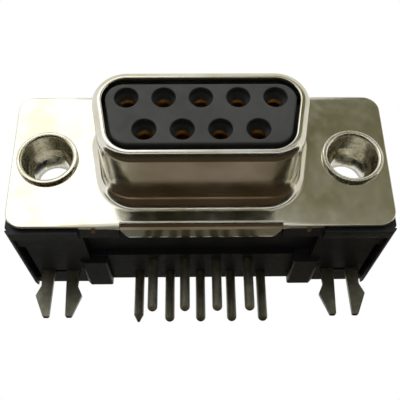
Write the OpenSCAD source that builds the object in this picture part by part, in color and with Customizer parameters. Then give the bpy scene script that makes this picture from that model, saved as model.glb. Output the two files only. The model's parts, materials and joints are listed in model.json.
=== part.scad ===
// Nine-way D-subminiature socket connector, right angle, for a printed board.
// Millimetres. +Z points up from the board, the mating side faces -Y and X runs
// along the length. The origin is the centre of the D on the flange's front face.

/* [Shell] */
// Width of the mounting flange
flange_w = 30.8; // [30.4:0.1:31.2]
// Height of the mounting flange
flange_h = 12.5; // [12.2:0.1:12.8]
// Corner radius of the flange
flange_r = 1.4; // [0.8:0.1:2]
// Thickness of the drawn steel sheet
sheet_t = 0.45; // [0.35:0.05:0.5]
// Width over the D-shaped collar at its wide side
collar_w = 16.33; // [16.2:0.01:16.45]
// Height over the collar
collar_h = 7.9; // [7.8:0.01:8]
// Corner radius of the collar
collar_r = 2.6; // [2.4:0.05:2.7]
// How far the collar stands in front of the flange
collar_len = 6.17; // [6:0.01:6.3]
// Slope of the collar's two side walls, in degrees
side_angle = 10; // [8:1:12]
// Radius of the collar's rolled-in front edge
nose_r = 0.65; // [0.55:0.05:0.65]
// How far the rolled edge reaches inward from the collar's outside
lip_in = 0.78; // [0.76:0.01:0.9]
// Radius where the collar runs out into the flange
root_r = 1; // [0.8:0.05:1.1]
// Width of each crimp tab folded back from the flange
tab_w = 12.8; // [11:0.1:14]
// Length of each crimp tab, front to back
tab_len = 1.9; // [1.5:0.1:2.1]

/* [Screw holes] */
// Distance between the two screw holes
screw_pitch = 24.99; // [24.8:0.01:25.2]
// Radius of the clear hole through an eyelet
bore_r = 1.5; // [1.45:0.01:1.6]
// Radius of an eyelet's rolled front lip
lip_r = 2.52; // [2.45:0.01:2.6]

/* [Contacts] */
// Distance between neighbouring contacts in a row
contact_pitch = 2.77; // [2.74:0.01:2.79]
// Distance between the two rows of contacts, and between the rows of tails
row_gap = 2.84; // [2.8:0.01:2.86]
// Radius of the socket's bore
socket_r = 0.51; // [0.5:0.01:0.54]
// Radius of a soldering tail
tail_r = 0.43; // [0.38:0.01:0.45]

/* [Board side] */
// Height of the mating axis above the board
board_drop = 6.6; // [6.5:0.05:6.8]
// Distance from the flange's face back to the nearer row of tails
first_row = 7.2; // [7:0.1:7.6]
// How far tails and board locks reach below the board
tail_below = 4.05; // [3:0.05:4.5]
// Depth of the housing behind the flange's face
housing_depth = 11.2; // [11:0.1:12]
// Distance between the centres of the two board locks
lock_pitch = 25; // [24.8:0.1:25.2]

/* [Hidden] */
$fn = 48;

// Slack left between pieces that slide into each other
slack = 0.03;

// Corner centres of the collar's outline
corner_top_x = collar_w / 2 - collar_r;
corner_z = collar_h / 2 - collar_r;
corner_low_x = corner_top_x - 2 * corner_z * tan(side_angle);
// Steps along each rounded corner
corner_steps = 10;

// Rounding of the rolled edge's inner rim
lip_edge = 0.1;

// The insulator: a body inside the collar and a face inside the rolled edge
body_inset = sheet_t + 0.05;
face_inset = lip_in + 0.45;
face_wide = 0.2;
face_y = -6.1;
face_step = 1.6;
face_edge = 0.15;
base_w = 19.2;
base_h = 9.4;
base_y = 2.3;
cell_r = 0.83;
mouth_r = 0.9;
entry_r = 0.6;
entry_y = face_y + 0.95;
rear_y = 3.9;

// The contacts
barrel_r = 0.8;
socket_front = entry_y + 0.1;
socket_depth = 5;
slit_w = 0.2;
slit_len = 3.4;
bend_r = 0.95;
upper_count = 5;
last_row = first_row + row_gap;
tip_z = -board_drop - tail_below;

// Bend radius of the crimp tabs, at the sheet's outside
tab_bend = sheet_t + 0.05;

// The housing
ear_back = 3.1;
block_top = -3.25;
panel_z = 0.35 - board_drop;
guide_z = 0.67 - board_drop;
recess_z = -5.35;
rim_t = 1.1;
side_rib = 0.42;
side_edge = 0.4;
groove_w = 0.5;
groove_h = 1.1;
groove_y = 3.5;
hood_x = 9.7;
hood_top = 5.5;
hood_r = 0.9;
cavity_x = 8.3;
cavity_top = 4.5;
cavity_floor = -4.2;
back_wall = 0.6;
guide_y = 5.95;
foot_in = 8.1;
foot_out = 10.4;
foot_y = 6.2;
foot_edge = 0.28;
gusset_t = 0.55;
gusset_top = -1.5;
gusset_y = 9.4;

// The board locks: a ring under the eyelet, a strap along the block, two prongs
lock_y = first_row + row_gap / 2;
lock_t = 0.4;
lock_w = 3.4;
lock_bend = 0.3;
ring_r = 2.75;
eyelet_r = 2.2;
eyelet_back = ear_back + lock_t;

// Points along an arc about (x, z), from one angle to another
function arc(x, z, r, from, to, steps = corner_steps) =
    [for (i = [0:steps]) let (a = from + (to - from) * i / steps)
        [x + r * cos(a), z + r * sin(a)]];

// The collar's outline seen from the front, moved outward by an offset and widened
function d_points(offset, wide = 0) = let (
        r = collar_r + offset, low = corner_low_x + wide, top = corner_top_x + wide) concat(
    arc(low, -corner_z, r, -90, -side_angle),
    arc(top, corner_z, r, -side_angle, 90),
    arc(-top, corner_z, r, 90, 180 + side_angle),
    arc(-low, -corner_z, r, 180 + side_angle, 270));

// The contacts: five above, four below, counted from the right
function contact_x(n) = n <= upper_count ?
    ((upper_count + 1) / 2 - n) * contact_pitch :
    (upper_count + 2.5 - n) * contact_pitch;
function contact_z(n) = (n <= upper_count ? 1 : -1) * row_gap / 2;
function contact_y(n) = n <= upper_count ? last_row : first_row;

// Draws a front view between two depths
module depth(from, to) {
    translate([0, to, 0]) rotate([90, 0, 0]) linear_extrude(to - from) children();
}

// Draws a side view, (Y, Z), across a width centred on x
module across(width, x = 0) {
    translate([x - width / 2, 0, 0]) rotate([90, 0, 90]) linear_extrude(width) children();
}

// Turns a profile (radius, Y) about an axis along Y through (x, z)
module turned(x, z) {
    translate([x, 0, z]) rotate([-90, 0, 0]) rotate_extrude() children();
}

module box(low, high) {
    translate(low) cube(high - low);
}

module rounded_plate(w, low, high, r_low, r_high) {
    x = w / 2;
    polygon(concat(
        arc(x - r_low, low + r_low, r_low, -90, 0, 6),
        arc(x - r_high, high - r_high, r_high, 0, 90, 6),
        arc(r_high - x, high - r_high, r_high, 90, 180, 6),
        arc(r_low - x, low + r_low, r_low, 180, 270, 6)));
}

// ---- Front shell ---------------------------------------------------------

// Section through the collar's wall: [offset from its outside, depth]
function collar_section() = let (tip = nose_r - collar_len) concat(
    arc(root_r, -root_r, root_r, 90, 180, 6),
    arc(-nose_r, tip, nose_r, 0, -90, 6),
    [[lip_edge - lip_in, -collar_len], [-lip_in, lip_edge - collar_len],
     [-lip_in, sheet_t * 0.8 - collar_len]],
    arc(-nose_r, tip, nose_r - sheet_t, -90, 0, 3),
    arc(root_r, -root_r, root_r + sheet_t, 180, 90, 6));

// The section carried once round the D
module collar() {
    section = collar_section();
    rings = [for (s = section) [for (p = d_points(s[0])) [p[0], s[1], p[1]]]];
    m = len(section);
    n = len(rings[0]);
    polyhedron(
        points = [for (ring = rings) each ring],
        faces = [for (i = [0:m - 1], j = [0:n - 1])
            let (k = (i + 1) % m, l = (j + 1) % n)
            [i * n + j, k * n + j, k * n + l, i * n + l]]);
}

// One crimp tab, bent back along the flange's lower edge, its corners rounded
module crimp_tab() {
    z = -flange_h / 2;
    corner = 0.6;
    slant = 35;
    reach = tab_w / 2 - 0.9;
    intersection() {
        across(tab_w)
            polygon(concat(
                [[0, z + 2 * tab_bend]], arc(tab_bend, z + tab_bend, tab_bend, 180, 270, 6),
                [[tab_len, z], [tab_len, z + sheet_t]],
                arc(tab_bend, z + tab_bend, tab_bend - sheet_t, 270, 180, 3),
                [[sheet_t, z + 2 * tab_bend]]));
        translate([0, 0, z])
            linear_extrude(3 * tab_bend)
                polygon(concat([[-tab_w / 2, 0], [tab_w / 2, 0], [tab_w / 2, 0.5]],
                    arc(reach, tab_len - corner, corner, slant, 90, 4),
                    arc(-reach, tab_len - corner, corner, 90, 180 - slant, 4),
                    [[-tab_w / 2, 0.5]]));
    }
}

module front_shell() {
    notch = 2 * tab_bend;
    stub_x = 8.43;
    stub_w = 0.32;
    stub_h = 0.3;
    color([0.78, 0.77, 0.72]) {
        collar();
        difference() {
            depth(0, sheet_t) difference() {
                rounded_plate(flange_w, -flange_h / 2, flange_h / 2, flange_r, flange_r);
                polygon(d_points(root_r));
            }
            for (side = [-1, 1]) {
                translate([side * screw_pitch / 2, -1, 0]) rotate([-90, 0, 0])
                    cylinder(r = eyelet_r + slack, h = 3);
                translate([0, 0, side * (flange_h / 2 - notch / 2)])
                    cube([tab_w, 2, notch], center = true);
            }
        }
        crimp_tab();
        mirror([0, 0, 1]) crimp_tab();
        // Torn stubs left where the flange was cut from its strip
        for (side = [-1, 1])
            translate([side * stub_x, sheet_t * 0.65, -flange_h / 2])
                cube([stub_w, sheet_t * 0.6, 2 * stub_h], center = true);
    }
}

// ---- Insulators ----------------------------------------------------------

module contact_cells(r, from, to) {
    for (n = [1:9])
        translate([contact_x(n), from, contact_z(n)]) rotate([-90, 0, 0])
            cylinder(r = r, h = to - from);
}

module front_insulator() {
    color([0.14, 0.14, 0.16]) difference() {
        union() {
            hull() {
                depth(face_y, face_y + 0.01)
                    polygon(d_points(-face_inset - face_edge, face_wide));
                depth(face_y + face_edge, face_y + face_step)
                    polygon(d_points(-face_inset, face_wide));
            }
            depth(face_y + face_step, sheet_t) polygon(d_points(-body_inset));
            depth(sheet_t, base_y)
                rounded_plate(base_w, -base_h / 2, base_h / 2, 0.6, 0.6);
        }
        for (n = [1:9])
            turned(contact_x(n), contact_z(n))
                polygon([[0, face_y - 1], [mouth_r, face_y - 1], [mouth_r, face_y + 0.55],
                         [entry_r, entry_y - 0.05], [entry_r, entry_y],
                         [cell_r, entry_y], [cell_r, base_y + 1], [0, base_y + 1]]);
    }
}

module rear_insulator() {
    color([0.13, 0.13, 0.14]) difference() {
        depth(base_y, rear_y) rounded_plate(base_w, -base_h / 2, base_h / 2, 0.6, 0.6);
        contact_cells(tail_r + slack, base_y - 1, rear_y + 1);
    }
}

// ---- Contacts ------------------------------------------------------------

// A stamped and rolled socket with its tail bent down to the board
module socket_contact(n) {
    x = contact_x(n);
    z = contact_z(n);
    y = contact_y(n);
    pointed = n == upper_count;
    cone = 0.65;
    tip = pointed ? cone : tail_r;
    color([0.83, 0.66, 0.28]) {
        difference() {
            turned(x, z)
                polygon([[socket_r + 0.12, socket_front], [barrel_r - 0.06, socket_front],
                         [barrel_r, socket_front + 0.1], [barrel_r, base_y],
                         [0, base_y], [0, socket_front + socket_depth],
                         [socket_r, socket_front + socket_depth],
                         [socket_r, socket_front + 0.2]]);
            translate([x - 2, socket_front - 1, z - slit_w / 2])
                cube([4, slit_len + 1, slit_w]);
        }
        turned(x, z) polygon([[0, base_y], [tail_r, base_y], [tail_r, y - bend_r],
                              [0, y - bend_r]]);
        translate([x, y - bend_r, z - bend_r]) rotate([90, 0, 90])
            rotate_extrude(angle = 90) translate([bend_r, 0]) circle(tail_r);
        translate([x, y, tip_z + tip]) cylinder(r = tail_r, h = z - bend_r - tip_z - tip);
        translate([x, y, tip_z + tip]) rotate_extrude() polygon(pointed ?
            [[0, -tip], [0.1, -tip], [tail_r, 0], [0, 0]] :
            concat([[0, 0]], arc(0, 0, tail_r, -90, 0, 8)));
    }
}

// ---- Housing -------------------------------------------------------------

module ear_wall() {
    depth(sheet_t, ear_back)
        rounded_plate(flange_w, panel_z, flange_h / 2, 0.3, flange_r);
    // The front wall stands on the board at both ends
    for (side = [-1, 1])
        translate([side * (flange_w / 2 + hood_x) / 2, sheet_t + rim_t / 2,
                   (panel_z - board_drop) / 2])
            cube([flange_w / 2 - hood_x, rim_t, board_drop + panel_z], center = true);
}

// One end of the bracket: base block, side rib, gusset and board foot
module end_block() {
    outer = flange_w / 2;
    corner = 0.8;
    difference() {
        translate([0, 0, -board_drop])
            linear_extrude(block_top + board_drop)
                polygon(concat([[hood_x - 0.2, ear_back], [outer, ear_back]],
                    arc(outer - corner, housing_depth - corner, corner, 0, 90, 5),
                    [[hood_x - 0.2, housing_depth]]));
        box([hood_x - 1, sheet_t + rim_t, -board_drop - 1],
            [outer - side_rib, housing_depth + 1, panel_z]);
        box([outer - side_rib - groove_w, groove_y, -board_drop - 1],
            [outer - side_rib, housing_depth - 1.1, panel_z + groove_h]);
        // Slot for the board lock, its front edge eased for the lock's bend
        across(lock_w + 2 * slack, lock_pitch / 2)
            polygon([[lock_y - lock_t / 2 - slack, -board_drop - 1],
                     [lock_y + lock_t / 2 + slack, -board_drop - 1],
                     [lock_y + lock_t / 2 + slack, block_top + 1],
                     [lock_y - lock_t / 2 - lock_bend - slack, block_top + 1],
                     [lock_y - lock_t / 2 - lock_bend - slack, block_top],
                     [lock_y - lock_t / 2 - slack, block_top - lock_bend]]);
    }
    // Side rib carried forward under the ear wall
    box([outer - side_rib, sheet_t + rim_t, -board_drop], [outer, ear_back, panel_z]);
    // Gusset between the ear and the block, run a little into both
    across(gusset_t, outer - gusset_t / 2)
        polygon([[ear_back - 0.3, block_top - 0.3], [gusset_y, block_top - 0.3],
                 [gusset_y, block_top + 0.3], [ear_back + 0.5, gusset_top],
                 [ear_back - 0.3, gusset_top]]);
    foot();
}

module foot() {
    depth(foot_y, housing_depth)
        polygon([[foot_in + 0.1, -board_drop], [foot_out - foot_edge, -board_drop],
                 [foot_out, -board_drop + foot_edge], [foot_out, guide_z + 0.3],
                 [foot_in, guide_z + 0.3], [foot_in, -board_drop + 0.1]]);
}

// The hood over the bent tails: a side view crossed with a back view
module hood_form() {
    intersection() {
        across(2 * hood_x)
            polygon(concat([[ear_back, guide_z], [housing_depth, guide_z]],
                arc(housing_depth - hood_r, hood_top - hood_r, hood_r, 0, 90, 6),
                [[ear_back, hood_top]]));
        depth(ear_back, housing_depth)
            rounded_plate(2 * hood_x, guide_z, hood_top, 0.01, hood_r);
    }
}

module housing() {
    color([0.11, 0.11, 0.13]) difference() {
        union() {
            ear_wall();
            hood_form();
            end_block();
            mirror([1, 0, 0]) end_block();
        }
        // Pocket for the two insulators
        depth(sheet_t - 1, rear_y)
            rounded_plate(base_w, -base_h / 2, base_h / 2, 0.6, 0.6);
        // Room for the bent tails, open below for the tail guide
        box([-cavity_x, rear_y - 0.01, cavity_floor],
            [cavity_x, housing_depth - back_wall, cavity_top]);
        box([-foot_in, guide_y, -board_drop - 1],
            [foot_in, housing_depth - back_wall, cavity_floor + 0.01]);
        // Hollow under the front of the hood, and seats for the crimp tabs
        box([-hood_x + 0.2, tab_len, -board_drop - 1], [hood_x - 0.2, guide_y, recess_z]);
        for (side = [-1, 1])
            translate([0, tab_len / 2, side * flange_h / 2])
                cube([tab_w + 0.2, tab_len + 0.1, 2 * tab_bend + 0.1], center = true);
        // Rounded lower edges along both ends
        for (side = [0, 1]) mirror([side, 0, 0]) depth(0, housing_depth + 1) difference() {
            translate([flange_w / 2 - side_edge, -board_drop - 1]) square([2, side_edge + 1]);
            translate([flange_w / 2 - side_edge, side_edge - board_drop]) circle(side_edge);
        }
        // Holes for the eyelets
        for (side = [-1, 1])
            translate([side * screw_pitch / 2, -1, 0]) rotate([-90, 0, 0])
                cylinder(r = eyelet_r + slack, h = ear_back + 2);
    }
}

// Plate pressed in from below that holds the tails on their pitch
module tail_guide() {
    plate_t = 0.85;
    color([0.12, 0.12, 0.13]) difference() {
        box([slack - foot_in, guide_y, guide_z],
            [foot_in - slack, housing_depth - back_wall - slack, guide_z + plate_t]);
        for (n = [1:9])
            translate([contact_x(n), contact_y(n), guide_z - 1])
                cylinder(r = tail_r + slack, h = plate_t + 2);
    }
}

// ---- Fixings -------------------------------------------------------------

// Tubular rivet: a flared lip in front, a narrowed bore and a rolled end behind
module eyelet(side) {
    color([0.72, 0.71, 0.64]) turned(side * screw_pitch / 2, 0)
        polygon(concat(
            [[eyelet_r, 0], [lip_r, 0]], arc(lip_r - 0.14, -0.2, 0.14, 0, -90, 4),
            [[2.33, -0.3]], arc(2.31, -0.06, 0.27, -90, -180, 5),
            [[1.9, 1.45], [bore_r, 1.85], [bore_r, 3.75], [bore_r + 0.15, 3.95]],
            arc(lip_r - 0.4, eyelet_back + 0.2, 0.2, 90, 0, 4),
            [[lip_r - 0.2, eyelet_back], [eyelet_r, eyelet_back]]));
}

// The right half of a board lock's front view, from its bend down round the prong
function prong() = let (z = -board_drop) concat(
    [[lock_w / 2, block_top - lock_bend], [lock_w / 2, panel_z], [1.6, z - 1.15]],
    arc(1.88, z - 2.08, 0.14, 30, -20, 3),
    arc(1.12, tip_z + 0.16, 0.16, -20, -90, 4),
    arc(0.86, tip_z + 0.16, 0.16, -90, -180, 4),
    [[0.52, panel_z + 0.3], [0.36, panel_z + 0.5]]);

// The strap's side view: down behind the ear, back along the block and down again
function strap() = let (
        front = ear_back + lock_t + lock_bend,
        rear = lock_y - lock_t / 2 - lock_bend,
        outer = lock_bend + lock_t,
        top = block_top + lock_t) concat(
    [[ear_back, top + lock_bend + 0.05]],
    arc(front, top + lock_bend, outer, 180, 270, 5),
    arc(rear, block_top - lock_bend, lock_bend, 90, 0, 3),
    arc(rear, block_top - lock_bend, outer, 0, 90, 5),
    arc(front, top + lock_bend, lock_bend, 270, 180, 3),
    [[ear_back + lock_t, top + lock_bend + 0.05]]);

module board_lock(side) {
    half = prong();
    x = side * lock_pitch / 2;
    color([0.55, 0.55, 0.48]) {
        depth(ear_back, ear_back + lock_t) difference() {
            union() {
                translate([side * screw_pitch / 2, 0]) circle(ring_r);
                translate([x - lock_w / 2, block_top + lock_t + lock_bend])
                    square([lock_w, -block_top - lock_t - lock_bend]);
            }
            translate([side * screw_pitch / 2, 0]) circle(eyelet_r + slack);
        }
        across(lock_w, x) polygon(strap());
        translate([x, 0, 0]) depth(lock_y - lock_t / 2, lock_y + lock_t / 2)
            polygon(concat(half,
                [for (i = [len(half) - 1:-1:0]) [-half[i][0], half[i][1]]]));
    }
}

front_shell();
front_insulator();
rear_insulator();
housing();
tail_guide();
socket_contact(1);  // socket_contact_1
socket_contact(2);  // socket_contact_2
socket_contact(3);  // socket_contact_3
socket_contact(4);  // socket_contact_4
socket_contact(5);  // socket_contact_5
socket_contact(6);  // socket_contact_6
socket_contact(7);  // socket_contact_7
socket_contact(8);  // socket_contact_8
socket_contact(9);  // socket_contact_9
eyelet(-1);  // eyelet_left
eyelet(1);  // eyelet_right
board_lock(-1);  // board_lock_left
board_lock(1);  // board_lock_right
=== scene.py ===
"""Nine-way D-sub socket connector, right angle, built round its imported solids.

The script is laid out as a Blender add-on and run as a script. All sizes are in
metres, in the frame of the solids: +Z up from the board, the mating side towards
-Y, X along the length, the origin at the centre of the D on the flange's front.
"""

import json
import math

import bmesh
import bpy
import numpy as np
from bpy.props import FloatProperty, FloatVectorProperty, PointerProperty
from bpy.types import Operator, Panel, PropertyGroup
from mathutils import Matrix, Vector
from mathutils.geometry import tessellate_polygon


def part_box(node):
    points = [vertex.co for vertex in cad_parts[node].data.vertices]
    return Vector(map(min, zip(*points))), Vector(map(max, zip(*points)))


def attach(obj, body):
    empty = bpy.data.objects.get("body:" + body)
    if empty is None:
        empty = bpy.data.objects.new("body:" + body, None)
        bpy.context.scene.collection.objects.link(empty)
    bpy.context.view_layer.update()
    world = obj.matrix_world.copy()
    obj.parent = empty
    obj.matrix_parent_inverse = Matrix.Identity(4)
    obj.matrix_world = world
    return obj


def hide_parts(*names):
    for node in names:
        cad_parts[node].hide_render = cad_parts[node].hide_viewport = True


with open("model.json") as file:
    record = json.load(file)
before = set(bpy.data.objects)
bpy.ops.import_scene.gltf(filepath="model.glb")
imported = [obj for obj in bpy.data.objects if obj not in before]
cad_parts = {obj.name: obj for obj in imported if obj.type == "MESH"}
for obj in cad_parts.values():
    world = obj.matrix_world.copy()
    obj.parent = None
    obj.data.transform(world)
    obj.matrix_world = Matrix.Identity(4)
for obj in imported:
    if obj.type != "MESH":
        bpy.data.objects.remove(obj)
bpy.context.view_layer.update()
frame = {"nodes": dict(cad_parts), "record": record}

bl_info = {
    "name": "D-sub socket connector",
    "version": (1, 0, 0),
    "blender": (4, 5, 0),
    "location": "3D View > Sidebar > Connector",
    "description": "Builds a nine-way right-angle D-sub socket and its studio",
    "category": "Add Mesh",
}

MM = 0.001
RECORD = frame["record"]
MOUNTS = {mount["name"]: mount for mount in RECORD["mounts"]}
SHELL_LOW, SHELL_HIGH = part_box("front_shell")
INSULATOR_LOW, INSULATOR_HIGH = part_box("front_insulator")
EYELET_LOW, EYELET_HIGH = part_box("eyelet_right")
SCREW_X = MOUNTS["screw_hole_right"]["pos_m"][0]
BORE_RADIUS = MOUNTS["screw_hole_right"]["dims"]["r_mm"] * MM
CONTACT_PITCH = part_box("socket_contact_1")[0][0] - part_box("socket_contact_2")[0][0]
UPPER_Z = MOUNTS["upper_sockets"]["pos_m"][2]
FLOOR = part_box("board_lock_left")[0][2]
STUB_X = 8.43 * MM
HOLE_SLACK = 0.03 * MM
SUPPORT = 0.04 * MM
CONTACTS = [f"socket_contact_{n}" for n in range(1, 10)]


# ---- Values a user would change -------------------------------------------

def linear(colour):
    """Turns an sRGB hex colour such as "#b8b6a8" into linear red, green, blue."""
    srgb = np.array([int(colour[i:i + 2], 16) for i in (1, 3, 5)]) / 255
    return tuple(np.where(srgb <= 0.04045, srgb / 12.92, ((srgb + 0.055) / 1.055) ** 2.4))


def length(label, text, metres):
    """A length property in metres."""
    return FloatProperty(name=label, description=text, default=metres, min=0,
                         precision=5, unit="LENGTH")


def colour(label, text, code):
    """A colour property from an sRGB hex code."""
    return FloatVectorProperty(name=label, description=text, default=linear(code),
                               size=3, min=0, max=1, subtype="COLOR")


class ShellSizes(PropertyGroup):
    """Sizes of the drawn front shell"""
    flange_width: length("Flange width", "Width of the flange",
                         SHELL_HIGH[0] - SHELL_LOW[0])
    flange_height: length("Flange height", "Height of the flange", 12.5 * MM)
    corner: length("Flange corner", "Corner radius of the flange", 1.4 * MM)
    sheet: length("Sheet", "Thickness of the steel sheet", 0.45 * MM)
    collar_width: length("Collar width", "Width over the collar", 16.33 * MM)
    collar_height: length("Collar height", "Height over the collar", 7.9 * MM)
    collar_corner: length("Collar corner", "Corner radius of the collar", 2.6 * MM)
    collar_length: length("Collar length", "How far the collar stands forward",
                          -SHELL_LOW[1])
    side_angle: FloatProperty(name="Side angle", description="Slope of the collar's sides",
                              default=math.radians(10), subtype="ANGLE")
    nose: length("Nose", "Radius of the collar's rolled front edge", 0.65 * MM)
    lip: length("Lip", "Reach of the rolled edge from the collar's outside", 0.78 * MM)
    lip_edge: length("Lip edge", "Rounding of the rolled edge's inner rim", 0.13 * MM)
    root: length("Root", "Radius where the collar meets the flange", 1 * MM)
    tab_width: length("Tab width", "Width of a crimp tab", 12.8 * MM)
    tab_length: length("Tab length", "Length of a crimp tab", SHELL_HIGH[1])
    tab_bend: length("Tab bend", "Outer radius of a crimp tab's bend", 0.5 * MM)
    edge: length("Edge", "Rounding of the sheet's stamped edges", 0.09 * MM)


class InsulatorSizes(PropertyGroup):
    """Sizes of the front insulator"""
    body_inset: length("Body inset", "Body inside the collar's outside", 0.5 * MM)
    face_inset: length("Face inset", "Face inside the collar's outside", 1.23 * MM)
    face_wide: length("Face width", "Extra half width of the face", 0.2 * MM)
    face_step: length("Face step", "Depth of the step round the face", 1.6 * MM)
    edge: length("Edge", "Rounding of the face's edge", 0.18 * MM)
    base_width: length("Base width", "Width of the hidden base",
                       INSULATOR_HIGH[0] - INSULATOR_LOW[0])
    base_height: length("Base height", "Height of the hidden base",
                        INSULATOR_HIGH[2] - INSULATOR_LOW[2])
    mouth: length("Mouth", "Radius of a contact hole's mouth", 0.9 * MM)
    entry: length("Entry", "Radius of the pin entry at the hole's bottom", 0.6 * MM)
    cell: length("Cell", "Radius of the cell behind the entry", 0.83 * MM)
    entry_depth: length("Entry depth", "Depth of the entry below the face", 0.95 * MM)


class EyeletSizes(PropertyGroup):
    """Sizes of the two flared rivets"""
    lip: length("Lip", "Radius of the rolled front lip", (EYELET_HIGH[2] - EYELET_LOW[2]) / 2)
    barrel: length("Barrel", "Outer radius of the barrel", 2.2 * MM)
    flare: length("Flare", "Radius of the flare into the bore", 0.27 * MM)
    flare_start: length("Flare start", "Radius where the flare leaves the lip", 2.31 * MM)
    neck: length("Neck", "Inner radius where the bore narrows", 1.9 * MM)
    neck_start: length("Neck start", "Depth where the bore narrows", 1.45 * MM)
    neck_end: length("Neck end", "Depth where the narrow bore starts", 1.85 * MM)


class FinishColours(PropertyGroup):
    """Base colours of the materials"""
    nickel: colour("Nickel", "Bright nickel plate", "#dedbd0")
    tarnish: colour("Tarnish", "Thin tarnish on the nickel", "#c3bea6")
    tin: colour("Tin", "Matt tin plate on locks and tails", "#8f8d7c")
    gold: colour("Gold", "Gold flash on the sockets", "#c9a46a")
    face: colour("Face", "Insulator's moulded PBT", "#2a2a29")
    housing: colour("Housing", "Housing's moulded PBT", "#19191c")


class StudioSettings(PropertyGroup):
    """Camera, lamps and floor"""
    azimuth: FloatProperty(name="Azimuth", description="Camera azimuth",
                           default=math.radians(-0.861), subtype="ANGLE")
    elevation: FloatProperty(name="Elevation", description="Camera elevation",
                             default=math.radians(-25.47), subtype="ANGLE")
    roll: FloatProperty(name="Roll", description="Camera roll",
                        default=math.radians(-0.77), subtype="ANGLE")
    distance: length("Distance", "Camera to its target", 47.795 * MM)
    focal: FloatProperty(name="Lens", description="Focal length in millimetres",
                         default=55.95, min=1)
    shift: FloatProperty(name="Shift", description="Vertical shift of the lens", default=0.1)
    floor: colour("Floor", "Pale floor", "#e9e8e4")


# ---- Surfaces --------------------------------------------------------------

def arc(x, y, radius, start, stop, steps=10):
    """Points at equal angles on a circle: (x + r cos a, y + r sin a), in degrees."""
    angle = np.radians(np.linspace(start, stop, steps + 1))
    return np.stack([x + radius * np.cos(angle), y + radius * np.sin(angle)], axis=1)


def strip(rings, close=True):
    """Quads between each ring of points and the next; rings has shape (k, n, 3)."""
    k, n = rings.shape[:2]
    row, column = np.meshgrid(np.arange(k - 1), np.arange(n if close else n - 1),
                              indexing="ij")
    beside = (column + 1) % n
    quads = np.stack([row * n + column, row * n + beside,
                      (row + 1) * n + beside, (row + 1) * n + column], axis=-1)
    return rings.reshape(-1, 3), quads.reshape(-1, 4).tolist()


def cap(loops):
    """Triangles that fill the first loop and leave the other loops open as holes."""
    points = np.concatenate(loops)
    return points, [list(t) for t in tessellate_polygon([loop.tolist() for loop in loops])]


def plate(loops):
    """A closed plate with holes.

    Each loop is an array (k, n, 3): k rings that carry an outline of n points from
    the plate's front face, over its edge, to its back face. The first loop is the
    outside and the others are holes. The faces between the rings are quads, and the
    front and back are filled between the first rings and between the last ones.
    """
    return ([strip(loop) for loop in loops]
            + [cap([loop[0] for loop in loops]), cap([loop[-1] for loop in loops])])


def inset(outline, amount):
    """Moves each side of a closed 2D outline inward by an amount, with mitred corners."""
    along = np.roll(outline, -1, axis=0) - outline
    along /= np.linalg.norm(along, axis=1, keepdims=True)
    inward = np.stack([-along[:, 1], along[:, 0]], axis=1)
    before = np.roll(inward, 1, axis=0)
    blend = 1 + np.sum(before * inward, axis=1, keepdims=True)
    return outline + amount * (before + inward) / blend


def edge_profile(front, back, radius, steps=4):
    """Section over a plate's edge: pairs (inset, depth) round both of its corners.

    It starts and ends a support's width further in, so that the flat faces keep
    their own direction in the shading.
    """
    first = arc(radius, front + radius, radius, -90, -180, steps)
    last = arc(radius, back - radius, radius, 180, 90, steps)
    return np.concatenate([[[radius + SUPPORT, front]], first, last,
                           [[radius + SUPPORT, back]]])


def front_view(outline, depth):
    """Places a 2D outline (x, z) at a depth y."""
    return np.stack([outline[:, 0], np.full(len(outline), depth), outline[:, 1]], axis=1)


def edge_rings(outline, profile, sharp=None):
    """Rings of a plate's edge: the outline inset and placed as each profile pair says.
    Points marked sharp are not inset."""
    keep = np.zeros((len(outline), 1), bool) if sharp is None else sharp[:, None]
    return np.stack([front_view(np.where(keep, outline, inset(outline, move)), depth)
                     for move, depth in profile])


def round_rings(x, z, profile, points=96):
    """Rings of a turned surface about an axis along Y: (x + r cos a, y, z + r sin a)."""
    angle = np.linspace(0, 2 * np.pi, points, endpoint=False)
    radius, depth = np.asarray(profile).T
    return np.stack([x + radius[:, None] * np.cos(angle),
                     np.repeat(depth[:, None], points, axis=1),
                     z + radius[:, None] * np.sin(angle)], axis=2)


def rounded_outline(width, low, high, corner, steps=8):
    """A rectangle with rounded corners, anticlockwise from its lower right corner."""
    x = width / 2 - corner
    return np.concatenate([arc(x, low + corner, corner, -90, 0, steps),
                           arc(x, high - corner, corner, 0, 90, steps),
                           arc(-x, high - corner, corner, 90, 180, steps),
                           arc(-x, low + corner, corner, 180, 270, steps)])


def d_outline(sizes, offset, wide=0.0, steps=20):
    """The collar's outline moved outward: four arcs about fixed centres, joined by
    straight sides that lean by the side angle. The centres move out by wide."""
    x = sizes.collar_width / 2 - sizes.collar_corner + wide
    z = sizes.collar_height / 2 - sizes.collar_corner
    low = x - 2 * z * math.tan(sizes.side_angle)
    lean = math.degrees(sizes.side_angle)
    radius = sizes.collar_corner + offset
    return np.concatenate([arc(low, -z, radius, -90, -lean, steps),
                           arc(x, z, radius, -lean, 90, steps),
                           arc(-x, z, radius, 90, 180 + lean, steps),
                           arc(-low, -z, radius, 180 + lean, 270, steps)])


def d_rings(sizes, profile):
    """The collar's outline carried along a profile of (offset, depth, widening)."""
    return np.stack([front_view(d_outline(sizes, offset, *wide), depth)
                     for offset, depth, *wide in profile])


# ---- Pieces ----------------------------------------------------------------

def add_piece(name, shells, material, replaced, sharp=30):
    """Makes one mesh of several closed surfaces, welds it and turns it outward."""
    mesh = bpy.data.meshes.new(name)
    points, faces, start = [], [], 0
    for own_points, own_faces in shells:
        points.append(own_points)
        faces += [[index + start for index in face] for face in own_faces]
        start += len(own_points)
    mesh.from_pydata(np.concatenate(points).tolist(), [], faces)
    return finish_piece(name, mesh, material, replaced, sharp)


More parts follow.
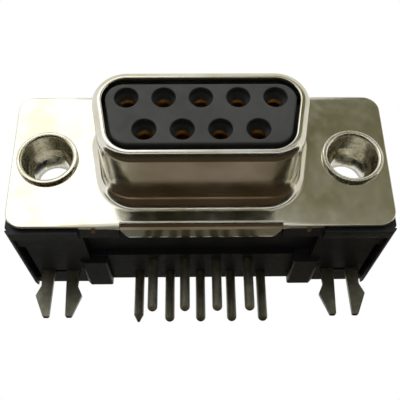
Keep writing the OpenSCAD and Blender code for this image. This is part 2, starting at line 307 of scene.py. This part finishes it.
def finish_piece(name, mesh, material, replaced, sharp=30):
    """Welds a mesh, turns its faces outward and makes it a piece on the root body."""
    edit = bmesh.new()
    edit.from_mesh(mesh)
    bmesh.ops.remove_doubles(edit, verts=edit.verts, dist=1e-7)
    bmesh.ops.recalc_face_normals(edit, faces=edit.faces)
    edit.to_mesh(mesh)
    edit.free()
    mesh.shade_smooth()
    mesh.set_sharp_from_angle(angle=math.radians(sharp))
    mesh.materials.append(material)
    piece = bpy.data.objects.new(name, mesh)
    bpy.context.collection.objects.link(piece)
    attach(piece, "root")
    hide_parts(*replaced)
    return piece


def dressed_copy(node, name, material, bevel):
    """A welded copy of a solid with its flat faces joined and its edges rounded."""
    mesh = frame["nodes"][node].data.copy()
    mesh.materials.clear()
    edit = bmesh.new()
    edit.from_mesh(mesh)
    bmesh.ops.remove_doubles(edit, verts=edit.verts, dist=1e-7)
    bmesh.ops.dissolve_limit(edit, angle_limit=math.radians(0.5), verts=edit.verts,
                             edges=edit.edges)
    edit.to_mesh(mesh)
    edit.free()
    piece = finish_piece(name, mesh, material, [node])
    rounding = piece.modifiers.new("edge rounding", "BEVEL")
    rounding.width = bevel
    rounding.segments = 2
    rounding.limit_method = "ANGLE"
    rounding.angle_limit = math.radians(30)
    rounding.harden_normals = True
    return piece


def flange_outline(sizes):
    """The flange's outline with the tabs' bends left out, and which points meet a tab."""
    top = sizes.flange_height / 2
    outline = rounded_outline(sizes.flange_width, -top, top, sizes.corner)
    half = len(outline) // 2
    x, bend = sizes.tab_width / 2, sizes.tab_bend
    upper = np.array([[x, top], [x, top - bend], [-x, top - bend], [-x, top]])
    whole = np.concatenate([outline[:half], upper, outline[half:], -upper])
    meets = np.zeros(len(whole), bool)
    meets[half:half + 4] = meets[-4:] = True
    return whole, meets


def crimp_tab(sizes, side):
    """A tab that bends back through a quarter circle and runs on to slanted corners.

    Its rings are rectangles with rounded corners. Ring k is half a width w(k) wide and
    sits at the arc length s(k) of the centre path: angle s / bend on the quarter
    circle, then straight along y.
    """
    bend, edge, sheet = sizes.tab_bend, 0.06 * MM, sizes.sheet
    half, corner, slant = sizes.tab_width / 2, 0.6 * MM, 0.9 * MM
    bend_steps, straight = 12, [0.58 * MM, 0.62 * MM]
    plan = arc(half - slant, sizes.tab_length - corner, corner, 35, 86, 8)
    reach = np.concatenate([np.linspace(0, bend, bend_steps + 1), straight, plan[:, 1]])
    width = np.interp(reach, np.concatenate([[0, straight[0]], plan[:, 1]]),
                      np.concatenate([[half, half], plan[:, 0]]))
    ring = np.arange(len(reach))
    turn = np.minimum(ring / bend_steps, 1) * np.pi / 2
    ahead = np.where(turn < np.pi / 2, 0, np.maximum(reach - bend, 0))
    rounding = edge * np.minimum(1, ring / 8 + 1e-3)
    rings = []
    for w, a, y, r in zip(width, turn, ahead, rounding):
        section = rounded_outline(2 * w, 0, sheet, r, 3)
        radius = bend - section[:, 1]
        rings.append(np.stack([section[:, 0], bend - radius * np.cos(a) + y, side * (
            sizes.flange_height / 2 - bend + radius * np.sin(a))], axis=1))
    rings = np.stack(rings)
    return [strip(rings), cap([rings[0]]), cap([rings[-1]])]


def collar_profile(sizes):
    """Section through the collar's wall as (offset, depth) pairs, from the flange's
    front face round the rolled nose and back inside to the flange's rear face."""
    tip = sizes.nose - sizes.collar_length
    cut = sizes.lip_edge
    return np.concatenate([
        [[sizes.root + SUPPORT, 0]],
        arc(sizes.root, -sizes.root, sizes.root, 90, 180, 12),
        arc(-sizes.nose, tip, sizes.nose, 0, -90, 12),
        arc(-sizes.lip + cut, -sizes.collar_length + cut, cut, -90, -180, 5),
        [[-sizes.lip, 0.8 * sizes.sheet - sizes.collar_length]],
        arc(-sizes.nose, tip, sizes.nose - sizes.sheet, -90, 0, 6),
        arc(sizes.root, -sizes.root, sizes.root + sizes.sheet, 180, 90, 12),
        [[sizes.root + SUPPORT, sizes.sheet]]])


def carrier_stub(sizes, x):
    """A stub torn from the strip: its side view (y, z), with a face that slopes back
    as it tore, carried across its width."""
    low, half = -sizes.flange_height / 2, 0.16 * MM
    side = np.array([[0.35, 0.3], [0.35, 0], [0.6, -0.18], [0.95, -0.3], [0.95, 0.3]])
    side = side * (sizes.sheet, MM) + (0, low)
    rings = np.stack([np.column_stack([np.full(len(side), x + across), side])
                      for across in (-half, half)])
    return [strip(rings), cap([rings[0]]), cap([rings[1]])]


def build_shell(sizes, material):
    """The drawn shell: flange, collar, tabs and the stubs of its carrier strip."""
    eyelet = bpy.context.scene.eyelet_sizes.barrel + HOLE_SLACK
    edge = edge_profile(0, sizes.sheet, sizes.edge)
    hole = np.stack([eyelet + edge[:, 0], edge[:, 1]], axis=1)
    outline, meets = flange_outline(sizes)
    loops = [edge_rings(outline, edge, meets),
             d_rings(sizes, collar_profile(sizes)),
             round_rings(SCREW_X, 0, hole), round_rings(-SCREW_X, 0, hole)]
    shells = plate(loops)
    for side in (1, -1):
        shells += crimp_tab(sizes, side)
        shells += carrier_stub(sizes, side * STUB_X)
    return add_piece("shell", shells, material, ["front_shell"])


def contact_places():
    """The nine contact axes (x, z): five above, four below."""
    above = (np.arange(5) - 2) * CONTACT_PITCH
    below = (np.arange(4) - 1.5) * CONTACT_PITCH
    return ([(x, UPPER_Z) for x in above.tolist()]
            + [(x, -UPPER_Z) for x in below.tolist()])


def build_insulator(sizes, shell, material):
    """The moulded face with its stepped holes, and the hidden base behind it."""
    front, back = INSULATOR_LOW[1], INSULATOR_HIGH[1]
    step = front + sizes.face_step
    edge = arc(-sizes.face_inset - sizes.edge, front + sizes.edge, sizes.edge, -90, 0, 6)
    face = np.concatenate([[[-sizes.face_inset - sizes.edge - 0.05 * MM, front]], edge,
                           [[-sizes.face_inset, step]]])
    chamfer = 0.1 * MM
    outside = ([(*pair, sizes.face_wide) for pair in face]
               + [(-sizes.body_inset - chamfer, step), (-sizes.body_inset, step + chamfer),
                  (-sizes.body_inset, shell.sheet)])
    entry = front + sizes.entry_depth
    rim, funnel = 0.07 * MM, 0.55 * MM
    hole = np.concatenate([
        [[sizes.mouth + rim + SUPPORT, front]],
        arc(sizes.mouth + rim, front + rim, rim, -90, -180, 4),
        [[sizes.mouth, front + funnel], [sizes.entry, entry - 0.05 * MM],
         [sizes.entry, entry], [sizes.cell, entry], [sizes.cell, shell.sheet]]])
    through = np.array([[sizes.cell, shell.sheet], [sizes.cell, back]])
    base = rounded_outline(sizes.base_width, -sizes.base_height / 2,
                           sizes.base_height / 2, 0.6 * MM)
    places = contact_places()
    shells = plate([d_rings(shell, outside)]
                   + [round_rings(x, z, hole, 48) for x, z in places])
    shells += plate([edge_rings(base, [(0, shell.sheet), (0, back)])]
                    + [round_rings(x, z, through, 48) for x, z in places])
    return add_piece("insulator_face", shells, material, ["front_insulator"])


def build_eyelet(name, side, sizes, material):
    """A rivet turned about its axis: rolled lip, funnel, neck and clinched end."""
    back = EYELET_HIGH[1]
    roll = 0.14 * MM
    front = EYELET_LOW[1]
    clinch = 0.2 * MM
    seat = back - 2 * clinch
    groove = sizes.flare_start + 0.02 * MM
    profile = np.concatenate([
        [[sizes.barrel, 0], [sizes.lip, 0]],
        arc(sizes.lip - roll, front + roll, roll, 0, -90, 6),
        [[groove + 0.01 * MM, front + 0.02 * MM], [groove, front + 0.05 * MM]],
        arc(sizes.flare_start, front + 0.01 * MM + sizes.flare, sizes.flare, -80, -180, 10),
        [[sizes.neck, sizes.neck_start - 0.1 * MM],
         [sizes.neck - 0.03 * MM, sizes.neck_start],
         [BORE_RADIUS + 0.04 * MM, sizes.neck_end - 0.06 * MM],
         [BORE_RADIUS, sizes.neck_end], [BORE_RADIUS, back - clinch],
         [BORE_RADIUS + 0.15 * MM, back]],
        arc(sizes.lip - 2 * clinch, seat + clinch, clinch, 90, 0, 5),
        [[sizes.lip - clinch, seat], [sizes.barrel, seat]]])
    rings = round_rings(side * SCREW_X, 0, profile, 128)
    rings = np.concatenate([rings, rings[:1]])
    return add_piece(name, [strip(rings)], material, [name], 40)


# ---- Materials -------------------------------------------------------------

def add_node(material, kind, sockets=None, **settings):
    """Adds a node, sets its own settings and gives its sockets values or links."""
    node = material.node_tree.nodes.new(kind)
    for key, value in settings.items():
        setattr(node, key, value)
    for key, value in (sockets or {}).items():
        if isinstance(value, bpy.types.NodeSocket):
            material.node_tree.links.new(value, node.inputs[key])
        else:
            node.inputs[key].default_value = value
    return node


def per(size):
    """The scale of a pattern whose features are a size apart, in metres."""
    return 1 / size


def new_material(name):
    """An empty material with object coordinates ready for its patterns."""
    material = bpy.data.materials.new(name)
    material.use_nodes = True
    material.node_tree.nodes.clear()
    place = add_node(material, "ShaderNodeTexCoord").outputs["Object"]
    return material, place


def noise(material, place, size, detail=4, roughness=0.5):
    """A noise pattern with features of a real size."""
    return add_node(material, "ShaderNodeTexNoise",
                    {"Vector": place, "Scale": per(size), "Detail": detail,
                     "Roughness": roughness}).outputs["Fac"]


def spread(material, value, low, high, out_low=0.0, out_high=1.0):
    """Maps a pattern's range onto another."""
    return add_node(material, "ShaderNodeMapRange",
                    {"Value": value, "From Min": low, "From Max": high,
                     "To Min": out_low, "To Max": out_high}).outputs["Result"]


def mixed(material, share, first, second):
    """A colour between two, by a pattern."""
    node = add_node(material, "ShaderNodeMix", {"Factor": share}, data_type="RGBA")
    for socket, value in ((6, first), (7, second)):
        if isinstance(value, bpy.types.NodeSocket):
            material.node_tree.links.new(value, node.inputs[socket])
        else:
            node.inputs[socket].default_value = (*value, 1)
    return node.outputs[2]


def stops_along(material, value, stops):
    """A colour that runs through stops, each a value of the pattern and a colour."""
    first, last = stops[0][0], stops[-1][0]
    node = add_node(material, "ShaderNodeValToRGB",
                    {"Fac": spread(material, value, first, last)})
    elements = node.color_ramp.elements
    elements[0].color = (*stops[0][1], 1)
    elements[1].color = (*stops[-1][1], 1)
    for at, shade in stops[1:-1]:
        elements.new((at - first) / (last - first)).color = (*shade, 1)
    return node.outputs["Color"]


def bumped(material, height, depth, normal=None):
    """Raises the surface by a pattern, by a depth in metres."""
    sockets = {"Height": height, "Distance": depth, "Strength": 1.0}
    if normal is not None:
        sockets["Normal"] = normal
    return add_node(material, "ShaderNodeBump", sockets).outputs["Normal"]


def finish_material(material, sockets):
    """Ends a material in a Principled shader."""
    shader = add_node(material, "ShaderNodeBsdfPrincipled", sockets)
    add_node(material, "ShaderNodeOutputMaterial", {"Surface": shader.outputs["BSDF"]})
    return material


def drawn_nickel(colours):
    """Bright nickel plate over drawn steel: a satin mirror with a slow waviness from
    the press, a fine grain and faint handling marks."""
    material, place = new_material("drawn_nickel_plate")
    cloud = noise(material, place, 5 * MM, 3)
    grain = noise(material, place, 0.25 * MM, 3, 0.6)
    base = mixed(material, spread(material, cloud, 0.35, 0.65), colours.nickel,
                 colours.tarnish)
    rough = spread(material, noise(material, place, 1.2 * MM), 0.3, 0.7, 0.12, 0.24)
    wave = bumped(material, noise(material, place, 7 * MM, 1), 0.05 * MM)
    normal = bumped(material, grain, 0.0012 * MM, wave)
    return finish_material(material, {"Base Color": base, "Metallic": 1.0,
                                      "Roughness": rough, "Normal": normal})


def spun_plate(colours):
    """Plate on a flared rivet: rolled smooth, with a faint uneven waviness."""
    material, place = new_material("flared_rivet_plate")
    cloud = noise(material, place, 1.5 * MM, 3)
    base = mixed(material, spread(material, cloud, 0.3, 0.7), colours.nickel,
                 colours.tarnish)
    rough = spread(material, noise(material, place, 0.4 * MM), 0.3, 0.7, 0.16, 0.32)
    normal = bumped(material, noise(material, place, 0.8 * MM, 2), 0.012 * MM)
    return finish_material(material, {"Base Color": base, "Metallic": 1.0,
                                      "Roughness": rough, "Normal": normal})


def cloudy_tin(material, place, colours):
    """The grey of matt tin with darker clouds."""
    cloud = noise(material, place, 0.9 * MM, 4)
    return mixed(material, spread(material, cloud, 0.3, 0.7),
                 colours.tin, tuple(0.62 * c for c in colours.tin))


def matt_tin(colours):
    """Matt tin plate: a soft grey metal with a cloudy, slightly grainy surface."""
    material, place = new_material("matt_tin_plate")
    base = cloudy_tin(material, place, colours)
    rough = spread(material, noise(material, place, 0.3 * MM), 0.3, 0.7, 0.36, 0.5)
    normal = bumped(material, noise(material, place, 0.12 * MM, 3), 0.003 * MM)
    return finish_material(material, {"Base Color": base, "Metallic": 1.0,
                                      "Roughness": rough, "Normal": normal})


def contact_plate(colours):
    """Gold flash on the socket, matt tin on the tail, as dipped strip contacts have."""
    material, place = new_material("gold_socket_tin_tail")
    depth = add_node(material, "ShaderNodeSeparateXYZ", {"Vector": place}).outputs["Y"]
    tinned = spread(material, depth, 0.5 * MM, 0.9 * MM)
    base = mixed(material, tinned, colours.gold, cloudy_tin(material, place, colours))
    rough = add_node(material, "ShaderNodeMath",
                     {0: tinned, 1: 0.04, 2: 0.42}, operation="MULTIPLY_ADD").outputs[0]
    normal = bumped(material, noise(material, place, 0.12 * MM, 3), 0.002 * MM)
    return finish_material(material, {"Base Color": base, "Metallic": 1.0,
                                      "Roughness": rough, "Normal": normal})


def moulded_pbt(name, shade, grain_depth, rough_low, rough_high, gloss):
    """Glass-filled PBT from a spark-eroded mould: near black, with a fine matt grain,
    faint flow clouds and paler glass-fibre specks."""
    material, place = new_material(name)
    cloud = noise(material, place, 2.5 * MM, 3)
    fleck = noise(material, place, 0.1 * MM, 2)
    pale = tuple(min(1.0, 1.9 * c) for c in shade)
    clouded = mixed(material, spread(material, cloud, 0.35, 0.65, 0, 0.35), shade, pale)
    base = mixed(material, spread(material, fleck, 0.62, 0.75, 0, 0.8), clouded, pale)
    rough = spread(material, noise(material, place, 0.6 * MM), 0.3, 0.7, rough_low,
                   rough_high)
    normal = bumped(material, noise(material, place, 0.14 * MM, 4), grain_depth)
    return finish_material(material, {"Base Color": base, "Roughness": rough,
                                      "Specular IOR Level": gloss, "IOR": 1.55,
                                      "Normal": normal})


# ---- Operators -------------------------------------------------------------

class CONNECTOR_OT_shell(Operator):
    """Build the drawn front shell"""
    bl_idname = "connector.shell"
    bl_label = "Front shell"

    def execute(self, context):
        scene = context.scene
        build_shell(scene.shell_sizes, drawn_nickel(scene.finish_colours))
        return {"FINISHED"}


class CONNECTOR_OT_eyelets(Operator):
    """Build the two flared rivets"""
    bl_idname = "connector.eyelets"
    bl_label = "Eyelets"

    def execute(self, context):
        scene = context.scene
        material = spun_plate(scene.finish_colours)
        for name, side in (("eyelet_left", -1), ("eyelet_right", 1)):
            build_eyelet(name, side, scene.eyelet_sizes, material)
        return {"FINISHED"}


class CONNECTOR_OT_insulators(Operator):
    """Build the contact face and finish the plate behind it"""
    bl_idname = "connector.insulators"
    bl_label = "Insulators"

    def execute(self, context):
        scene = context.scene
        material = moulded_pbt("moulded_pbt_face", scene.finish_colours.face,
                               0.006 * MM, 0.5, 0.65, 0.4)
        build_insulator(scene.insulator_sizes, scene.shell_sizes, material)
        frame["nodes"]["rear_insulator"].material_slots[0].material = material
        return {"FINISHED"}


class CONNECTOR_OT_contacts(Operator):
    """Plate the nine socket contacts"""
    bl_idname = "connector.contacts"
    bl_label = "Contacts"

    def execute(self, context):
        material = contact_plate(context.scene.finish_colours)
        for node in CONTACTS:
            frame["nodes"][node].material_slots[0].material = material
        return {"FINISHED"}


class CONNECTOR_OT_housing(Operator):
    """Build the moulded housing and its tail guide"""
    bl_idname = "connector.housing"
    bl_label = "Housing"

    def execute(self, context):
        material = moulded_pbt("moulded_pbt_housing",
                               context.scene.finish_colours.housing,
                               0.005 * MM, 0.42, 0.55, 0.25)
        for node in ("housing", "tail_guide"):
            dressed_copy(node, f"{node}_moulding", material, 0.1 * MM)
        return {"FINISHED"}


class CONNECTOR_OT_board_locks(Operator):
    """Build the two stamped board locks"""
    bl_idname = "connector.board_locks"
    bl_label = "Board locks"

    def execute(self, context):
        material = matt_tin(context.scene.finish_colours)
        for node in ("board_lock_left", "board_lock_right"):
            dressed_copy(node, f"{node}_stamping", material, 0.05 * MM)
        return {"FINISHED"}


class CONNECTOR_OT_studio(Operator):
    """Set up the floor, the lamps, the cards and the camera"""
    bl_idname = "connector.studio"
    bl_label = "Studio"

    def execute(self, context):
        settings = context.scene.studio_settings
        build_world(context.scene)
        build_floor(settings)
        build_cards()
        build_lamps()
        build_camera(context.scene, settings)
        return {"FINISHED"}


# ---- Studio ----------------------------------------------------------------

def build_world(scene):
    """White to the eye, to metal and to glass; a softer level lights the object."""
    world = bpy.data.worlds.new("studio_white")
    world.use_nodes = True
    world.node_tree.nodes.clear()
    path = add_node(world, "ShaderNodeLightPath")
    seen = path.outputs["Is Camera Ray"]
    for ray in ("Is Glossy Ray", "Is Transmission Ray"):
        seen = add_node(world, "ShaderNodeMath", {0: seen, 1: path.outputs[ray]},
                        operation="MAXIMUM").outputs[0]
    strength = spread(world, seen, 0, 1, 0.3, 1)
    sky = add_node(world, "ShaderNodeBackground",
                   {"Color": (1, 1, 1, 1), "Strength": strength})
    add_node(world, "ShaderNodeOutputWorld", {"Surface": sky.outputs[0]})
    scene.world = world


def aimed(obj, place, target, roll=0.0):
    """Puts a lamp, card or camera at a place and turns it towards a target."""
    direction = Vector(target) - Vector(place)
    turn = direction.to_track_quat("-Z", "Y").to_matrix() @ Matrix.Rotation(roll, 3, "Z")
    obj.matrix_world = Matrix.Translation(place) @ turn.to_4x4()


def on_sphere(azimuth, elevation, distance):
    """A place seen from the origin at an azimuth and elevation, in degrees."""
    a, e = math.radians(azimuth), math.radians(elevation)
    return (distance * math.sin(a) * math.cos(e), -distance * math.cos(a) * math.cos(e),
            distance * math.sin(e))


def flat_mesh(name, low, high, level=0.0):
    """A rectangle from one corner to the other, as an object on the stage."""
    mesh = bpy.data.meshes.new(name)
    mesh.from_pydata([(low[0], low[1], level), (high[0], low[1], level),
                      (high[0], high[1], level), (low[0], high[1], level)], [],
                     [(0, 1, 2, 3)])
    stage = bpy.data.objects.new(name, mesh)
    bpy.context.collection.objects.link(stage)
    return stage


def build_floor(settings):
    """A pale floor under the tails, seen only from above."""
    material, place = new_material("painted_board_floor")
    shade = mixed(material, spread(material, noise(material, place, 40 * MM, 2), 0.3, 0.7),
                  settings.floor, tuple(0.97 * c for c in settings.floor))
    paint = add_node(material, "ShaderNodeBsdfDiffuse", {"Color": shade})
    clear = add_node(material, "ShaderNodeBsdfTransparent")
    behind = add_node(material, "ShaderNodeNewGeometry").outputs["Backfacing"]
    surface = add_node(material, "ShaderNodeMixShader",
                       {0: behind, 1: paint.outputs[0], 2: clear.outputs[0]})
    add_node(material, "ShaderNodeOutputMaterial", {"Surface": surface.outputs[0]})
    reach = 600 * MM
    floor = flat_mesh("floor", (-reach, -reach), (reach, reach), FLOOR)
    floor.data.materials.append(material)
    floor.visible_diffuse = False


def card(name, axis, stops, low, high, edges=(), level=0.0):
    """A card that glows with its own colour and that only reflections see: a painted
    reflection that lights nothing.

    Its colour runs through the stops along a local axis. Each edge is a local axis
    with the places where the card is gone and where it is whole.
    """
    material, place = new_material(name)
    axes = add_node(material, "ShaderNodeSeparateXYZ", {"Vector": place}).outputs
    shade = stops_along(material, axes[axis], stops)
    surface = add_node(material, "ShaderNodeEmission", {"Color": shade}).outputs[0]
    for side, gone, whole in edges:
        clear = add_node(material, "ShaderNodeBsdfTransparent").outputs[0]
        share = add_node(material, "ShaderNodeMapRange",
                         {"Value": axes[side], "From Min": gone, "From Max": whole},
                         interpolation_type="SMOOTHSTEP").outputs["Result"]
        surface = add_node(material, "ShaderNodeMixShader",
                           {0: share, 1: clear, 2: surface}).outputs[0]
    add_node(material, "ShaderNodeOutputMaterial", {"Surface": surface})
    sheet = flat_mesh(name, low, high, level)
    sheet.data.materials.append(material)
    for ray in ("camera", "diffuse", "transmission", "volume_scatter", "shadow"):
        setattr(sheet, f"visible_{ray}", False)
    return sheet


def build_cards():
    """Painted reflections: cards that glow with their own colour, that only reflections in
    the metal and plastic see and that light nothing. A bright window at the upper left
    front, an olive card at the upper right front, a dim band along the table's far edge, a
    painted dark reflection of the table in front of the connector, the painted shadow of
    the connector on the table under it and a painted dim reflection of the table behind
    it, both lighter to the left. Their colours are levels of light, as linear red, green
    and blue."""
    white = (2.2, 2.2, 2.17)
    window = card("window_card", "X", ((-90 * MM, white), (90 * MM, white)),
                  (-110 * MM, -90 * MM), (110 * MM, 90 * MM),
                  (("X", -110 * MM, -70 * MM),))
    aimed(window, on_sphere(-22, 34, 400 * MM), (0, 0, 0))
    # Painted olive-grey reflection for the flange's right half: the card glows and lights
    # nothing.
    olive_reflection = card("olive_reflection_card", "Y",
                ((-60 * MM, (0.25, 0.24, 0.17)), (40 * MM, (0.17, 0.165, 0.1))),
                (-150 * MM, -120 * MM), (170 * MM, 130 * MM),
                (("X", -150 * MM, -60 * MM), ("Y", 130 * MM, 60 * MM)))
    aimed(olive_reflection, on_sphere(24, 32, 380 * MM), (0, 0, 0))
    # Painted dim reflection low in front: the band glows and lights nothing.
    band = card("far_band", "X",
                ((-200 * MM, (0.06, 0.06, 0.05)), (200 * MM, (0.05, 0.045, 0.035))),
                (-420 * MM, -60 * MM), (420 * MM, 70 * MM), (("Y", 70 * MM, 20 * MM),))
    aimed(band, on_sphere(0, 3, 420 * MM), (0, 0, 20 * MM))
    table = FLOOR + 0.05 * MM
    seam = 8.2 * MM
    # Brown of the painted shadow of the connector on the table.
    painted_shadow_brown = (0.23, 0.19, 0.15)
    # Painted dark reflection of the table in front of the connector, lighter and warmer
    # towards it.
    card("front_dark_reflection", "Y",
         ((-12 * MM, (0.02, 0.02, 0.014)), (-7 * MM, (0.06, 0.04, 0.025))),
         (-90 * MM, -60 * MM), (90 * MM, 0),
         (("Y", -60 * MM, -40 * MM), ("X", -90 * MM, -50 * MM), ("X", 90 * MM, 50 * MM)),
         table)
    # Painted shadow of the connector on the table under it, seen only in reflections, lighter
    # to the left where the key light falls.
    card("painted_shadow_card", "X",
         ((-10 * MM, (0.36, 0.35, 0.28)), (-5 * MM, painted_shadow_brown), (5 * MM, painted_shadow_brown),
          (10 * MM, (0.1, 0.085, 0.055))),
         (-60 * MM, 0), (60 * MM, seam), (), table)
    # Painted dim reflection of the table behind the connector, lighter to the left.
    card("rear_dim_reflection", "X",
         ((-10 * MM, (0.14, 0.14, 0.12)), (10 * MM, (0.12, 0.105, 0.07))),
         (-60 * MM, seam), (60 * MM, 80 * MM), (("Y", 80 * MM, 50 * MM),), table)


def build_lamps():
    """A large soft key from the upper left front, a fill from the right, a low fill from
    under the front and a rim from behind."""
    for name, azimuth, elevation, size, power in (
            ("key_softbox", -28, 42, 260 * MM, 1.9),
            ("fill_softbox", 60, 30, 300 * MM, 0.6),
            ("low_fill", -10, -20, 200 * MM, 0.15),
            ("rear_softbox", 160, 50, 300 * MM, 1.2)):
        data = bpy.data.lights.new(name, "AREA")
        data.shape = "SQUARE"
        data.size = size
        data.energy = power
        lamp = bpy.data.objects.new(name, data)
        lamp.visible_camera = False
        lamp.visible_glossy = False
        bpy.context.collection.objects.link(lamp)
        aimed(lamp, on_sphere(azimuth, elevation, 400 * MM), (0, 0, 0))


def build_camera(scene, settings):
    """The camera looks up at the mating side from below the board's plane."""
    target = Vector((-0.129 * MM, 0, -7.402 * MM))
    a, e = settings.azimuth, settings.elevation
    back = Vector((math.sin(a) * math.cos(e), -math.cos(a) * math.cos(e), math.sin(e)))
    data = bpy.data.cameras.new("camera")
    data.lens = settings.focal
    data.shift_y = settings.shift
    data.clip_start = 1 * MM
    data.clip_end = 5
    camera = bpy.data.objects.new("camera", data)
    bpy.context.collection.objects.link(camera)
    aimed(camera, target + back * settings.distance, target, settings.roll)
    scene.camera = camera


# ---- Panel and registration ------------------------------------------------

class VIEW3D_PT_connector(Panel):
    """Sidebar panel with the connector's pieces and their values"""
    bl_label = "D-sub connector"
    bl_space_type = "VIEW_3D"
    bl_region_type = "UI"
    bl_category = "Connector"

    def draw(self, context):
        layout = self.layout
        for operator in OPERATORS:
            layout.operator(operator.bl_idname)
        for name in GROUPS:
            group = getattr(context.scene, name)
            box = layout.box()
            box.label(text=group.bl_rna.description)
            for key in group.__annotations__:
                box.prop(group, key)


GROUPS = {"shell_sizes": ShellSizes, "insulator_sizes": InsulatorSizes,
          "eyelet_sizes": EyeletSizes, "finish_colours": FinishColours,
          "studio_settings": StudioSettings}
OPERATORS = (CONNECTOR_OT_shell, CONNECTOR_OT_eyelets, CONNECTOR_OT_insulators,
             CONNECTOR_OT_contacts, CONNECTOR_OT_housing, CONNECTOR_OT_board_locks,
             CONNECTOR_OT_studio)
CLASSES = (*GROUPS.values(), *OPERATORS, VIEW3D_PT_connector)


def register():
    for cls in CLASSES:
        bpy.utils.register_class(cls)
    for name, group in GROUPS.items():
        setattr(bpy.types.Scene, name, PointerProperty(type=group))


def unregister():
    for name in GROUPS:
        delattr(bpy.types.Scene, name)
    for cls in reversed(CLASSES):
        bpy.utils.unregister_class(cls)


def main():
    """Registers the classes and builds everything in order."""
    register()
    bpy.context.scene.view_settings.view_transform = "Standard"
    bpy.ops.connector.shell()
    bpy.ops.connector.eyelets()
    bpy.ops.connector.insulators()
    bpy.ops.connector.contacts()
    bpy.ops.connector.housing()
    bpy.ops.connector.board_locks()
    bpy.ops.connector.studio()


if __name__ == "__main__":
    main()
